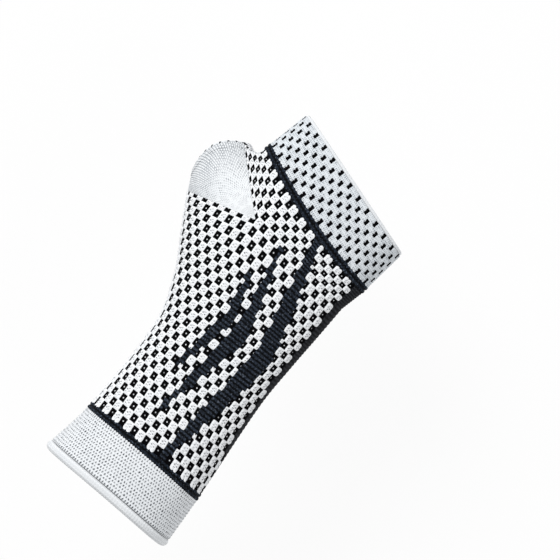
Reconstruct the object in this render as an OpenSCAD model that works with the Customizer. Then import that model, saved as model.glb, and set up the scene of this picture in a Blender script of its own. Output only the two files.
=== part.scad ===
// Knitted wrist support sleeve with a thumb opening, in the shape it takes when worn.
// Millimetres. The origin is the middle of the forearm opening. +Y runs to the fingers,
// +X to the little finger side, +Z to the back of the hand. The thumb is on the -X side.

/* [Forearm end] */
// Width across the rolled forearm edge
forearm_w = 74.4; // [64:0.2:90]
// Thickness of the forearm end, from its back to its front
forearm_thick = 56; // [46:0.5:68]
// Length of the forearm cuff between the rolled edge and the stripe
forearm_cuff_len = 22.3; // [16:0.1:30]
// Length of the rolled edge along the arm
welt_len = 4.9; // [3.6:0.1:8]
// Thickness of the rolled edge through the wall
welt_thick = 4.4; // [3.6:0.1:6]
// Width at the forearm stripe
forearm_stripe_w = 68.4; // [58:0.2:82]
// Thickness at the forearm stripe
forearm_stripe_thick = 51; // [42:0.5:62]
// How far the forearm edge bows to the fingers in its middle
forearm_bow = 1.2; // [0:0.1:5]
// How far the forearm stripe bows to the fingers in its middle
stripe_bow = 1.4; // [0:0.1:4]
// Sideways shift of the middle of the forearm stripe; the thumb side is negative
stripe_shift = 1.2; // [-3:0.1:4]

/* [Wrist] */
// Distance from the forearm edge to the middle of the wrist
wrist_y = 82; // [72:0.5:98]
// Width of the wrist
wrist_w = 64.2; // [54:0.2:76]
// Thickness of the wrist
wrist_thick = 44; // [37:0.5:53]
// Sideways shift of the middle of the wrist
wrist_shift = -1.4; // [-5:0.1:3]
// Length of each of the two zones of knit that bend with the wrist
bend_len = 24; // [18:0.5:28]

/* [Hand] */
// Width where the ball of the thumb begins
thumb_base_w = 72.5; // [66:0.5:84]
// Sideways shift of the middle there
thumb_base_shift = -5.3; // [-9:0.1:0]
// Width at the lower edge of the thumb heel
heel_w = 93; // [84:0.5:108]
// Sideways shift of the middle there
heel_shift = -14.4; // [-19:0.1:-9]
// Thickness of the hand at the thumb heel
heel_thick = 44; // [37:0.5:52]
// Distance from the wrist zone to the lower edge of the thumb heel
heel_len = 30; // [24:0.5:38]
// How far the rows of knit peak towards the fingers at the tip of the heel
heel_peak = 12; // [6:0.5:16]
// Where that tip lies across the hand: 0 is the thumb side, 1 the other side
heel_tip = 0.366; // [0.3:0.005:0.45]
// Distance from the lower edge of the heel to the crotch of the thumb
crotch_len = 25.6; // [21:0.2:31]
// Width at the crotch of the thumb
crotch_w = 80.2; // [70:0.2:96]
// Sideways shift of the middle there
crotch_shift = -5.8; // [-10:0.1:-2]
// Thickness of the hand at the crotch
crotch_thick = 38; // [32:0.5:46]
// Band of check knit between the crotch and the palm stripe
crotch_band = 4.2; // [2.5:0.1:7]
// Length of the palm cuff
palm_cuff_len = 22.6; // [17:0.2:30]
// Width of the palm edge
palm_w = 77.3; // [66:0.2:92]
// Sideways shift of the middle of the palm edge
palm_shift = -0.5; // [-5:0.1:3]
// Thickness of the palm edge
palm_thick = 33; // [28:0.5:40]
// Slant of the palm cuff, longer on the thumb side
palm_lean = 17.2; // [8:0.2:22]
// How far the palm stripe sags to the wrist in its middle
palm_sag = 4.6; // [0:0.1:7]

/* [Thumb opening] */
// Width of the thumb opening
thumb_w = 30; // [25:0.2:36]
// Thickness of the thumb opening
thumb_thick = 26; // [22:0.2:31]
// Direction that the opening faces, turned from the fingers to the thumb side
thumb_turn = 61.4; // [55:0.2:70]
// Width of the web of knit between the crotch and the thumb opening
web_w = 5.9; // [4.5:0.1:9]
// How far the end of the opening lies below the crotch
rim_set = 1.2; // [0:0.1:4]
// Direction of the thumb, turned from the fingers to the thumb side
thumb_lean = 28; // [20:0.5:40]
// Height of the middle of the opening above the middle of the sleeve
thumb_drop = -1; // [-6:0.5:4]
// How full the heel is between the sleeve and the rim
thumb_swell = 0.7; // [0.4:0.05:1]
// How far the back and front of the rim stand out beyond its two ends
rim_bow = 6.4; // [2:0.1:8]
// Part of the rim on each side of the crotch that is check knit, as an angle
web_angle = 34; // [24:1:44]
// Width of the thumb hem
thumb_hem_w = 2; // [1.4:0.1:2.6]
// Diameter of the overlocked thumb edge
overlock_d = 1.4; // [1:0.1:1.8]

/* [Knit] */
// Thickness of the check knit
knit_wall = 1.8; // [1.2:0.1:2.4]
// Thickness of the fine knit of the thumb heel
heel_wall = 1.5; // [1:0.1:2]
// Thickness of each of the two layers of a cuff
cuff_ply = 1; // [0.7:0.1:1.3]
// Diameter of the laid-in elastic thread between the layers of a cuff
elastic_d = 0.7; // [0.4:0.1:1]
// Elastic threads in each cuff
elastic_count = 4; // [2:1:5]
// Length of each stripe along the sleeve
stripe_len = 4.3; // [3:0.1:6]
// How far the two ridges of a stripe stand out
stripe_ridge = 0.4; // [0.2:0.1:0.8]
// Thickness of the folded palm edge through the wall
palm_fold_thick = 3; // [2.6:0.1:4]
// Length of the folded palm edge along the sleeve
palm_fold_len = 2.2; // [1.6:0.1:3]
// Squareness of the cross-sections: 2 is an ellipse
section_power = 2.25; // [2:0.05:2.8]
// Clearance between neighbouring pieces
gap = 0.3; // [0.1:0.05:0.5]

/* [Hidden] */

// Colours of the yarns
white_yarn = [0.90, 0.91, 0.92];
navy_yarn = [0.12, 0.15, 0.21];
grey_yarn = [0.75, 0.77, 0.80];
charcoal_yarn = [0.20, 0.20, 0.22];
elastic_yarn = [0.95, 0.93, 0.88];

// Columns of the knit that run on past the thumb, and columns that end at the heel
main_cols = 30;
heel_cols = 20;
all_cols = main_cols + heel_cols;
// The columns of the dark panel down the little finger side
panel_from = 12;
panel_to = 19;
// Steps of the edge of the thumb hole between the tip of the heel and the crotch
web_steps = 6;
// How much closer those steps begin at the tip
edge_ease = 1.67;
// Distance below the heel over which the direction of the sleeve is taken
heel_lead = 5;
// Steps, as shares and as columns, over which the direction of a curved face is measured
share_step = 0.02;
col_step = 0.25;
// Room at the side of a piece, as a share of a column
side_trim = 0.05;
// The web's room at its sides, and where it begins, as shares of its width and length
web_trim = 0.06;
web_first = 0.14;

// Places along the sleeve, measured in the middle of each row
y_cuff = welt_len;
y_stripe = y_cuff + forearm_cuff_len;
y_sleeve = y_stripe + stripe_len;
y_bend_1 = wrist_y - bend_len;
y_bend_2 = wrist_y + bend_len;
y_heel = y_bend_2 + heel_len;
y_crotch = y_heel + crotch_len;
y_palm_stripe = y_crotch + crotch_band;
y_palm_cuff = y_palm_stripe + stripe_len;
y_palm = y_palm_cuff + palm_cuff_len;

// A row of knit: place, width, sideways shift of its middle, slope across the sleeve, bow of its
// middle to the fingers, heel peak and thickness
palm_slope = -tan(palm_lean);
stripe_slope = -0.03;
heel_slope = -0.074;
// The rows begin to peak part of the way to the heel, at a share of its length, and slowly
peak_start = 0.56;
first_peak = 0.25;
peak_column = 5;
function mix(a, b, share) = a + (b - a) * share;
base_row = [y_bend_2, thumb_base_w, thumb_base_shift, 0, 0, 0, wrist_thick];
heel_row = [y_heel, heel_w, heel_shift, heel_slope, 0, heel_peak, heel_thick];
peak_row = mix(base_row, heel_row, peak_start);
lower_rows = [
    [0, forearm_w, 0, stripe_slope, forearm_bow, 0, forearm_thick],
    [y_stripe + stripe_len / 2, forearm_stripe_w, stripe_shift, stripe_slope, stripe_bow, 0,
        forearm_stripe_thick],
    [wrist_y, wrist_w, wrist_shift, 0, 0, 0, wrist_thick],
    base_row,
    [for (k = [0 : len(peak_row) - 1]) peak_row[k] * (k == peak_column ? first_peak / peak_start : 1)],
    heel_row
];
upper_rows = [
    heel_row,
    [y_crotch, crotch_w, crotch_shift, palm_slope, -palm_sag, 0, crotch_thick],
    [y_palm, palm_w, palm_shift, palm_slope, 0, 0, palm_thick]
];

// The row at a place along the sleeve: a smooth curve through the lower rows, and
// straight runs between the upper ones
function seg(rows, y, k = 0) = (k >= len(rows) - 2 || y <= rows[k + 1][0]) ? k : seg(rows, y, k + 1);
function rise(rows, a, b) = (rows[b] - rows[a]) / (rows[b][0] - rows[a][0]);
function rate(rows, k) = rise(rows, max(k - 1, 0), min(k + 1, len(rows) - 1));
function cubic(p, q, m, n, s) =
    (2 * s^3 - 3 * s^2 + 1) * p + (s^3 - 2 * s^2 + s) * m + (3 * s^2 - 2 * s^3) * q + (s^3 - s^2) * n;
function smooth_row(rows, y) =
    let (k = seg(rows, y), h = rows[k + 1][0] - rows[k][0])
    cubic(rows[k], rows[k + 1], h * rate(rows, k), h * rate(rows, k + 1), (y - rows[k][0]) / h);
function straight_row(rows, y) = let (k = seg(rows, y)) rows[k] + (y - rows[k][0]) * rise(rows, k, k + 1);

// A rounded cross-section: position across from -1 to 1, and height from -1 to 1
function signed_power(a, p) = sign(a) * abs(a)^p;
function across(angle) = signed_power(cos(angle), 2 / section_power);
function height(angle) = signed_power(sin(angle), 2 / section_power);
function angle_at(share) = acos(signed_power(2 * share - 1, section_power / 2));
function tent(share) = share < heel_tip ? share / heel_tip : (1 - share) / (1 - heel_tip);

// A point of a row at an angle from the little finger side, set in from the outer face
function row_point(row, angle, inset) =
    let (
        w = row[1] / 2,
        x = (w - inset) * across(angle),
        share = (1 + x / w) / 2
    )
    [
        row[2] + x,
        row[0] + row[3] * x + row[4] * 4 * share * (1 - share) + row[5] * tent(share),
        (row[6] / 2 - inset) * height(angle)
    ];

// The angle of a column. Above the heel the columns spread until they close at the crotch.
tip_angle = angle_at(heel_tip);
function open_angle(y) = angle_at(heel_tip * (1 - min(1, (y - y_heel) / crotch_len)^2));
function lower_angle(col) =
    let (c = ((col % all_cols) + all_cols) % all_cols)
    c <= main_cols
        ? tip_angle * (1 - 2 * c / main_cols)
        : -tip_angle - (360 - 2 * tip_angle) * (c - main_cols) / heel_cols;
function upper_angle(y, col) = open_angle(y) * (1 - 2 * col / main_cols);

// The outer face of the sleeve
function skin(y, col, inset = 0) =
    y <= y_heel
        ? row_point(smooth_row(lower_rows, y), lower_angle(col), inset)
        : row_point(straight_row(upper_rows, y), upper_angle(y, col), inset);

// Rows above the heel end at the edge of the thumb hole. These places divide that edge,
// from the tip of the heel at 0 to the crotch at 1.
function edge_y(share) =
    let (
        angle = tip_angle + (180 - tip_angle) * share^edge_ease,
        left = (1 + across(angle)) / 2 / heel_tip
    )
    y_heel + crotch_len * sqrt(max(0, 1 - left));

// The rim of the thumb opening at an angle from the crotch, over the back of the thumb
thumb_facing = [-sin(thumb_turn), cos(thumb_turn), 0];
thumb_across = [cos(thumb_turn), sin(thumb_turn), 0];
thumb_axis = [-sin(thumb_lean), cos(thumb_lean), 0];
thumb_middle =
    skin(y_crotch, 0) + thumb_facing * web_w - thumb_across * (thumb_w / 2 + rim_set) + [0, 0, thumb_drop];
function rim_radius(a) = thumb_across * thumb_w / 2 * cos(a) + [0, 0, thumb_thick / 2 * sin(a)];
function rim(a) = thumb_middle + rim_radius(a) + thumb_facing * rim_bow * sin(a)^2;

// The heel runs from the lower edge of the thumb hole to the rim. Its columns go from the tip
// of the heel on the back of the hand, round the thumb side, to the tip on the palm.
function heel_base(col) = skin(y_heel, all_cols - col);
function heel_rim(col) = rim(web_angle + (360 - 2 * web_angle) * col / heel_cols);
function heel_run(col) = norm(heel_rim(col) - heel_base(col));
function unit(v) = v / norm(v);
// It leaves the sleeve along the sleeve's surface, but goes straight to the rim at its two tips.
function heel_share(col) = sin(180 * col / heel_cols)^2;
function heel_straight(col) = unit(heel_rim(col) - heel_base(col));
function heel_before(col) = skin(y_heel - heel_lead, all_cols - col);
function leaving(col) =
    unit(mix(heel_straight(col), unit(heel_base(col) - heel_before(col)), heel_share(col)));
function arriving(col) = unit(mix(heel_straight(col), thumb_axis, heel_share(col)));
function heel_face(s, col) =
    let (pull = thumb_swell * heel_run(col))
    cubic(heel_base(col), heel_rim(col), pull * leaving(col), pull * arriving(col), s);

// The web fills the corner between the edge of the hand knit, the side of the heel and the
// crotch of the rim. side is 1 on the back of the hand and -1 on the palm.
// Where along the web's end its crotch gives way to the rim
web_corner = 0.4;
function web_hand(r, side) = skin(edge_y(r), side > 0 ? 0 : main_cols);
function web_end(q, side) =
    q < web_corner
        ? mix(web_hand(1, side), rim(0), q / web_corner)
        : rim(side * web_angle * (q - web_corner) / (1 - web_corner));
function web_face(r, q, side) =
    mix(web_hand(r, side), heel_face(r, side > 0 ? 0 : heel_cols), q)
        + r^3 * (web_end(q, side) - mix(web_hand(1, side), rim(side * web_angle), q));

// A closed solid from two grids of points, one on its outer face and one on its inner face.
// Columns that close on themselves leave no side walls.
module sheet(outer, inner, rows, cols, closed) {
    wide = closed ? cols : cols + 1;
    total = (rows + 1) * wide;
    function at(r, c) = r * wide + c % wide;
    function two(a, b, c, d) = [[a, b, c], [a, c, d]];
    faces = [
        for (r = [0 : rows - 1], c = [0 : cols - 1])
            each concat(
                two(at(r, c), at(r + 1, c), at(r + 1, c + 1), at(r, c + 1)),
                two(total + at(r, c), total + at(r, c + 1), total + at(r + 1, c + 1), total + at(r + 1, c))
            ),
        for (c = [0 : cols - 1])
            each concat(
                two(at(0, c), at(0, c + 1), total + at(0, c + 1), total + at(0, c)),
                two(at(rows, c), total + at(rows, c), total + at(rows, c + 1), at(rows, c + 1))
            ),
        if (!closed)
            for (r = [0 : rows - 1])
                each concat(
                    two(at(r, 0), total + at(r, 0), total + at(r + 1, 0), at(r + 1, 0)),
                    two(at(r, cols), at(r + 1, cols), total + at(r + 1, cols), total + at(r, cols))
                )
    ];
    polyhedron(concat(outer, inner), faces);
}

// Places of rows between two places, clear of the neighbours at both ends
function places(y0, y1, rows) = [for (r = [0 : rows]) y0 + gap / 2 + (y1 - y0 - gap) * r / rows];

// A piece of knit between two columns of the sleeve, with its outer and inner faces set in by
// two depths. ridge lifts the outer face in two waves along it.
module knit(ys, c0, c1, depth0, depth1, ridge = 0) {
    rows = len(ys) - 1;
    cols = c1 - c0;
    closed = cols == (ys[0] > y_heel ? main_cols : all_cols);
    trim = closed ? 0 : side_trim;
    function lift(r) = ridge * abs(sin(360 * r / rows));
    function grid(depth, lifted) = [
        for (r = [0 : rows], i = [0 : cols - (closed ? 1 : 0)])
            skin(ys[r], c0 + trim + (cols - 2 * trim) * i / cols, depth - lifted * lift(r))
    ];
    sheet(grid(depth0, 1), grid(depth1, 0), rows, cols, closed);
}

// A rounded roll round the whole sleeve, long along the sleeve and thick through the wall
module roll(y, cols, depth, long, thick, sides) {
    ring = [
        for (c = [0 : cols - 1])
            let (
                p = skin(y, c, depth),
                out = unit(skin(y, c, depth - 1) - p),
                along = unit(skin(y + 1, c, depth) - skin(y - 1, c, depth))
            )
            for (k = [0 : sides - 1])
                p + out * thick / 2 * cos(360 * k / sides) + along * long / 2 * sin(360 * k / sides)
    ];
    tube(ring, cols, sides);
}

// A closed tube from rings of points, one ring after another round a loop
module tube(points, count, sides) {
    function at(c, k) = (c % count) * sides + k % sides;
    polyhedron(points, [
        for (c = [0 : count - 1], k = [0 : sides - 1])
            each [[at(c, k), at(c, k + 1), at(c + 1, k + 1)], [at(c, k), at(c + 1, k + 1), at(c + 1, k)]]
    ]);
}

// Both layers of a cuff and the room for the elastic between them
cuff_wall = 2 * cuff_ply + elastic_d + 2 * gap;
module cuff_threads(y0, y1, cols) {
    for (k = [1 : elastic_count])
        roll(y0 + (y1 - y0) * k / (elastic_count + 1), cols, cuff_wall / 2, elastic_d, elastic_d, 4);
}

module forearm_welt() color(grey_yarn)
    roll(welt_len / 2, all_cols, cuff_wall / 2, welt_len - gap, welt_thick, 10);
module forearm_cuff() color(grey_yarn)
    knit(places(y_cuff, y_stripe, 3), 0, all_cols, 0, cuff_ply);
module forearm_lining() color(grey_yarn)
    knit(places(y_cuff, y_stripe, 3), 0, all_cols, cuff_wall - cuff_ply, cuff_wall);
module forearm_elastic() color(elastic_yarn)
    cuff_threads(y_cuff, y_stripe, all_cols);
module forearm_stripe() color(navy_yarn)
    knit(places(y_stripe, y_sleeve, 4), 0, all_cols, 0, knit_wall, stripe_ridge);

module forearm_sleeve() color(white_yarn)
    knit(places(y_sleeve, y_bend_1, 3), panel_to, all_cols + panel_from, 0, knit_wall);
module wrist_sleeve_proximal() color(white_yarn)
    knit(places(y_bend_1, wrist_y, 3), panel_to, all_cols + panel_from, 0, knit_wall);
module wrist_sleeve_distal() color(white_yarn)
    knit(places(wrist_y, y_bend_2, 3), panel_to, all_cols + panel_from, 0, knit_wall);
module hand_sleeve() color(white_yarn)
    knit(places(y_bend_2, y_heel, 4), panel_to, all_cols + panel_from, 0, knit_wall);
// Rows above the heel, closer together where the edge of the thumb hole turns in to the crotch
hand_rows = [
    y_heel + gap / 2,
    for (k = [1 : web_steps]) edge_y(k / web_steps),
    y_palm_stripe - gap / 2
];
module hand_back() color(white_yarn)
    knit(hand_rows, 0, panel_from, 0, knit_wall);
module hand_palm() color(white_yarn)
    knit(hand_rows, panel_to, main_cols, 0, knit_wall);

module ulnar_panel_forearm() color(charcoal_yarn)
    knit(places(y_sleeve, y_bend_1, 3), panel_from, panel_to, 0, knit_wall);
module ulnar_panel_wrist_proximal() color(charcoal_yarn)
    knit(places(y_bend_1, wrist_y, 3), panel_from, panel_to, 0, knit_wall);
module ulnar_panel_wrist_distal() color(charcoal_yarn)
    knit(places(wrist_y, y_bend_2, 3), panel_from, panel_to, 0, knit_wall);
module ulnar_panel_hand() color(charcoal_yarn)
    knit(places(y_bend_2, y_palm_stripe, 8), panel_from, panel_to, 0, knit_wall);

module palm_stripe() color(navy_yarn)
    knit(places(y_palm_stripe, y_palm_cuff, 4), 0, main_cols, 0, knit_wall, stripe_ridge);
module palm_cuff() color(white_yarn)
    knit(places(y_palm_cuff, y_palm - palm_fold_len, 3), 0, main_cols, 0, cuff_ply);
module palm_lining() color(white_yarn)
    knit(places(y_palm_cuff, y_palm - palm_fold_len, 3), 0, main_cols, cuff_wall - cuff_ply, cuff_wall);
module palm_elastic() color(elastic_yarn)
    cuff_threads(y_palm_cuff, y_palm - palm_fold_len, main_cols);
module palm_hem() color(white_yarn)
    roll(y_palm - palm_fold_len / 2, main_cols, cuff_wall / 2, palm_fold_len - gap, palm_fold_thick, 8);

// Strips of the heel between distances from the sleeve, or from the rim where negative
module heel_knit(rows, start, finish, depth0, depth1) {
    function share(d, col) = d < 0 ? 1 + d / heel_run(col) : d / heel_run(col);
    function normal(s, col) =
        unit(cross(
            heel_face(s + share_step, col) - heel_face(s - share_step, col),
            heel_face(s, min(heel_cols, col + col_step)) - heel_face(s, max(0, col - col_step))
        ));
    function point(s, col, depth) = heel_face(s, col) - depth * normal(s, col);
    function grid(depth) = [
        for (r = [0 : rows], i = [heel_cols : -1 : 0])
            let (col = side_trim + (heel_cols - 2 * side_trim) * i / heel_cols)
            point(mix(share(start, col), share(finish, col), r / rows), col, depth)
    ];
    sheet(grid(depth0), grid(depth1), rows, heel_cols, false);
}

// One side of the web, from a little above the tip of the heel to the overlocked edge
module web_knit(side) {
    rows = web_steps;
    cols = 5;
    function normal(r, q) =
        side * unit(cross(
            web_face(r + share_step, q, side) - web_face(r - share_step, q, side),
            web_face(r, q + share_step, side) - web_face(r, q - share_step, side)
        ));
    function point(r, q, depth) = web_face(r, q, side) - depth * normal(r, q);
    function grid(depth) = [
        for (k = [0 : rows], i = [0 : cols])
            let (
                share = web_trim + (1 - 2 * web_trim) * i / cols,
                q = side > 0 ? 1 - share : share,
                run = norm(web_face(1, q, side) - web_face(0, q, side))
            )
            point(mix(web_first, 1 - web_set / run, k / rows), q, depth)
    ];
    sheet(grid(0), grid(heel_wall), rows, cols, false);
}

// Where the thumb hem lies and the web ends, measured from the rim, and how far the hem stands
// out from the heel
hem_end = overlock_d + 2 * gap;
hem_start = hem_end + thumb_hem_w;
web_set = hem_end + gap;
hem_proud = 0.35;
module thumb_heel() color(grey_yarn)
    heel_knit(4, 2 * gap, -hem_start - gap, 0, heel_wall);
module thumb_hem() color(grey_yarn)
    heel_knit(2, -hem_start, -hem_end, -hem_proud, heel_wall + hem_proud);
module thumb_web() color(white_yarn) {
    web_knit(1);
    web_knit(-1);
}
module thumb_overlock() color(navy_yarn) {
    sides = 6;
    turns = 30;
    tube(
        [
            for (c = [turns - 1 : -1 : 0])
                let (a = 360 * c / turns, out = unit(rim_radius(a)))
                for (k = [0 : sides - 1])
                    rim(a) - out * heel_wall / 2 - thumb_axis * overlock_d / 2
                        + overlock_d / 2 * (out * cos(360 * k / sides) + thumb_axis * sin(360 * k / sides))
        ],
        turns, sides
    );
}

forearm_welt();
forearm_cuff();
forearm_lining();
forearm_elastic();
forearm_stripe();
forearm_sleeve();
ulnar_panel_forearm();
wrist_sleeve_proximal();
wrist_sleeve_distal();
ulnar_panel_wrist_proximal();
ulnar_panel_wrist_distal();
hand_sleeve();
hand_back();
hand_palm();
ulnar_panel_hand();
palm_stripe();
palm_cuff();
palm_lining();
palm_elastic();
palm_hem();
thumb_heel();
thumb_web();
thumb_hem();
thumb_overlock();
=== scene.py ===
import math

import bmesh
import bpy
import numpy as np
from mathutils import Matrix, Vector


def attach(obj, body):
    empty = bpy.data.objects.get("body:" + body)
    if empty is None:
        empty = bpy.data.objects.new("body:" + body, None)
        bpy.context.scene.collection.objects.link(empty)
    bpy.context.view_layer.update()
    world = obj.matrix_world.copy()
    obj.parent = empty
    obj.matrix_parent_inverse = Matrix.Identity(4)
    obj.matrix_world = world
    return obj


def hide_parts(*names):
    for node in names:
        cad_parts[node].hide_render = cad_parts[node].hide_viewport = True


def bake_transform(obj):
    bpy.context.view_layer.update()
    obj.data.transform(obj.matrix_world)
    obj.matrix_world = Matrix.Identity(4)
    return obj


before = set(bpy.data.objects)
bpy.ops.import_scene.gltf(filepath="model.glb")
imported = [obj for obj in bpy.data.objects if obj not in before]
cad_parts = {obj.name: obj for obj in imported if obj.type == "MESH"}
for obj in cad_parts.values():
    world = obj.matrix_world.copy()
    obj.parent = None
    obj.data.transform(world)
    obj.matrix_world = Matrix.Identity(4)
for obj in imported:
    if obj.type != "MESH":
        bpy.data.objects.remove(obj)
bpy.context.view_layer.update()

# A knitted wrist support sleeve, in the shape it takes when worn. The surface functions repeat the
# rows of the part's source, in millimetres, and meshes are scaled to metres when they are made.
MM = 0.001

# Places of rows along the sleeve
Y_CUFF, Y_STRIPE, Y_SLEEVE = 4.9, 27.2, 31.5
Y_BEND_1, Y_WRIST, Y_BEND_2 = 58.0, 82.0, 106.0
Y_HEEL, Y_CROTCH = 136.0, 161.6
Y_PALM_STRIPE, Y_PALM_CUFF, Y_PALM_FOLD, Y_PALM = 165.8, 170.1, 190.5, 192.7
WELT_LEN, WELT_THICK = 4.9, 4.4
PALM_FOLD_LEN, PALM_FOLD_THICK = 2.2, 3.0
KNIT_WALL, HEEL_WALL, CUFF_WALL = 1.8, 1.5, 3.3
ELASTIC_D, ELASTIC_COUNT = 0.7, 4

# A row of knit: place, width, sideways shift, slope, bow of its middle, heel peak and thickness
PALM_SLOPE = -math.tan(math.radians(17.2))
BASE_ROW = np.array([Y_BEND_2, 72.5, -5.3, 0, 0, 0, 44.0])
HEEL_ROW = np.array([Y_HEEL, 93, -14.4, -0.074, 0, 12, 44.0])
PEAK_START, FIRST_PEAK = 0.56, 0.25
PEAK_ROW = BASE_ROW + (HEEL_ROW - BASE_ROW) * PEAK_START
PEAK_COLUMN = 5
PEAK_ROW[PEAK_COLUMN] *= FIRST_PEAK / PEAK_START
LOWER_ROWS = np.array([
    [0, 74.4, 0, -0.03, 1.2, 0, 56],
    [(Y_STRIPE + Y_SLEEVE) / 2, 68.4, 1.2, -0.03, 1.4, 0, 51],
    [Y_WRIST, 64.2, -1.4, 0, 0, 0, 44],
    BASE_ROW, PEAK_ROW, HEEL_ROW,
])
UPPER_ROWS = np.array([
    HEEL_ROW,
    [Y_CROTCH, 80.2, -5.8, PALM_SLOPE, -4.6, 0, 38],
    [Y_PALM, 77.3, -0.5, PALM_SLOPE, 0, 0, 33],
])
POWER = 2.25
HEEL_TIP = 0.366
# Courses fall less from the heel's tip to the little finger side
TIP_FALL = 0.226

# The thumb opening
THUMB_W, THUMB_THICK, RIM_BOW, WEB_ANGLE = 30.0, 26.0, 6.4, math.radians(34)
THUMB_TURN, THUMB_LEAN = math.radians(61.4), math.radians(28)
WEB_W, RIM_SET, THUMB_DROP, THUMB_SWELL, HEEL_LEAD = 5.9, 1.2, -1.0, 0.7, 5.0
HEM_W, OVERLOCK_D, HEM_PROUD = 2.0, 1.4, 0.35


def cubic(p, q, m, n, s):
    """A cubic curve from p with rate m to q with rate n, at shares s of the way."""
    at_p, rate_p = 2 * s**3 - 3 * s**2 + 1, s**3 - 2 * s**2 + s
    at_q, rate_q = 3 * s**2 - 2 * s**3, s**3 - s**2
    return at_p * p + rate_p * m + at_q * q + rate_q * n


def row_at(y):
    """Rows of knit at places y: a smooth curve through the lower rows, straight runs between the upper."""
    y = np.asarray(y, float)[:, None]
    place, last = LOWER_ROWS[:, 0], len(LOWER_ROWS) - 1
    steps = LOWER_ROWS[np.r_[1:last + 1, last]] - LOWER_ROWS[np.r_[0, 0:last]]
    rates = steps / steps[:, :1]
    k = np.clip(np.searchsorted(place, y[:, 0]) - 1, 0, last - 1)
    h = (place[k + 1] - place[k])[:, None]
    share = (y - place[k][:, None]) / h
    lower = cubic(LOWER_ROWS[k], LOWER_ROWS[k + 1], h * rates[k], h * rates[k + 1], share)
    upper = np.stack([np.interp(y[:, 0], UPPER_ROWS[:, 0], column) for column in UPPER_ROWS.T], axis=1)
    return np.where(y <= Y_HEEL, lower, upper)


def signed_power(a, p):
    return np.sign(a) * np.abs(a) ** p


TIP_ANGLE = float(np.arccos(signed_power(2 * HEEL_TIP - 1, POWER / 2)))


def row_points(rows, angle, inset=0.0):
    """Points of rows at angles from the little finger side: rows (n, 7) and angles (n, m) give (n, m, 3)."""
    place, width, shift, slope, bow, peak, thick = rows.T[..., None]
    x = (width / 2 - inset) * signed_power(np.cos(angle), 2 / POWER)
    share = (1 + 2 * x / width) / 2
    tent = np.where(share < HEEL_TIP, share / HEEL_TIP, 1 - TIP_FALL * (share - HEEL_TIP) / (1 - HEEL_TIP))
    y = place + slope * x + bow * 4 * share * (1 - share) + peak * tent
    z = (thick / 2 - inset) * signed_power(np.sin(angle), 2 / POWER)
    return np.stack([shift + x, y, z], axis=2)


def unit(v):
    return v / np.linalg.norm(v, axis=-1, keepdims=True)


def mix(a, b, share):
    return a + (b - a) * share


FACING = np.array([-math.sin(THUMB_TURN), math.cos(THUMB_TURN), 0])
ACROSS = np.array([math.cos(THUMB_TURN), math.sin(THUMB_TURN), 0])
THUMB_AXIS = np.array([-math.sin(THUMB_LEAN), math.cos(THUMB_LEAN), 0])
CROTCH = row_points(row_at([Y_CROTCH]), np.array([[math.pi]]))[0, 0]
RIM_MIDDLE = CROTCH + FACING * WEB_W - ACROSS * (THUMB_W / 2 + RIM_SET) + np.array([0, 0, THUMB_DROP])


def rim_radius(a):
    a = a[..., None]
    return ACROSS * THUMB_W / 2 * np.cos(a) + np.array([0, 0, THUMB_THICK / 2]) * np.sin(a)


def rim(a):
    """The rim of the thumb opening at angles from the crotch, over the back of the thumb."""
    return RIM_MIDDLE + rim_radius(a) + FACING * RIM_BOW * np.sin(a)[..., None] ** 2


def heel_angle(t):
    """Angles along the foot of the thumb heel, from its tip on the back at 0 to that on the palm at 1."""
    return (TIP_ANGLE + (2 * math.pi - 2 * TIP_ANGLE) * t)[None]


def heel_face(s, t):
    """The thumb heel: s from the sleeve at 0 to the rim at 1, and t from tip to tip."""
    s, t = np.broadcast_arrays(s, t)
    flat = t.ravel()
    base = row_points(HEEL_ROW[None], heel_angle(flat))[0]
    before = row_points(row_at([Y_HEEL - HEEL_LEAD]), heel_angle(flat))[0]
    end = rim(WEB_ANGLE + (2 * math.pi - 2 * WEB_ANGLE) * flat)
    share = (np.sin(math.pi * flat) ** 2)[:, None]
    straight = unit(end - base)
    run = np.linalg.norm(end - base, axis=1)[:, None]
    leave = unit(mix(straight, unit(base - before), share)) * THUMB_SWELL * run
    arrive = unit(mix(straight, THUMB_AXIS, share)) * THUMB_SWELL * run
    return cubic(base, end, leave, arrive, s.ravel()[:, None]).reshape(s.shape + (3,))


LINE_STEPS, HEEL_STEPS, RIM_STEPS = 240, 90, 30


def row_lines(y, side, inset=0.0):
    """Rows as lines of points from the little finger edge to the thumb side, on the back (1) or palm (-1)."""
    return row_points(row_at(y), np.linspace(0, math.pi, LINE_STEPS)[None], inset) * np.array([1, 1, side])


def run_of(lines):
    steps = np.linalg.norm(np.diff(lines, axis=1), axis=2)
    return np.pad(np.cumsum(steps, axis=1), ((0, 0), (1, 0)))


def along(lines, distance):
    """Points at distances along each line; a distance past the end gives the end."""
    return np.array([np.stack([np.interp(d, run, axis) for axis in line.T], axis=1)
                     for d, run, line in zip(distance, run_of(lines), lines)])


# Yarns of the chart, with the rest height of a stitch, the height of its crown, and how much the crown
# dips between neighbours along a course
WHITE, BLACK, NAVY, CHARCOAL, GREY = range(5)
REST = np.array([0.22, -0.25, 0.02, 0.0, 0.0])
CROWN = np.array([0.42, 0.16, 0.45, 0.24, 0.38])
DIP = np.array([1.0, 1.0, 0.45, 0.3, 0.4])
GROOVE = 0.05
# How far white stitches swell over dark ones, as shares of a stitch: where two meet, and in their middle
SWELL_ENDS, SWELL_MIDDLE = 0.10, 0.06
# How high light stitches at an edge lie over the next band, and how blunt they are
LOBE_LIFT, LOBE_POWER = 0.5, 0.6
# A small step in courses, and lengths that count as nothing, in mm
RATE_STEP, LINE_END, NO_LENGTH = 0.02, 1e-6, 1e-9


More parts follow.
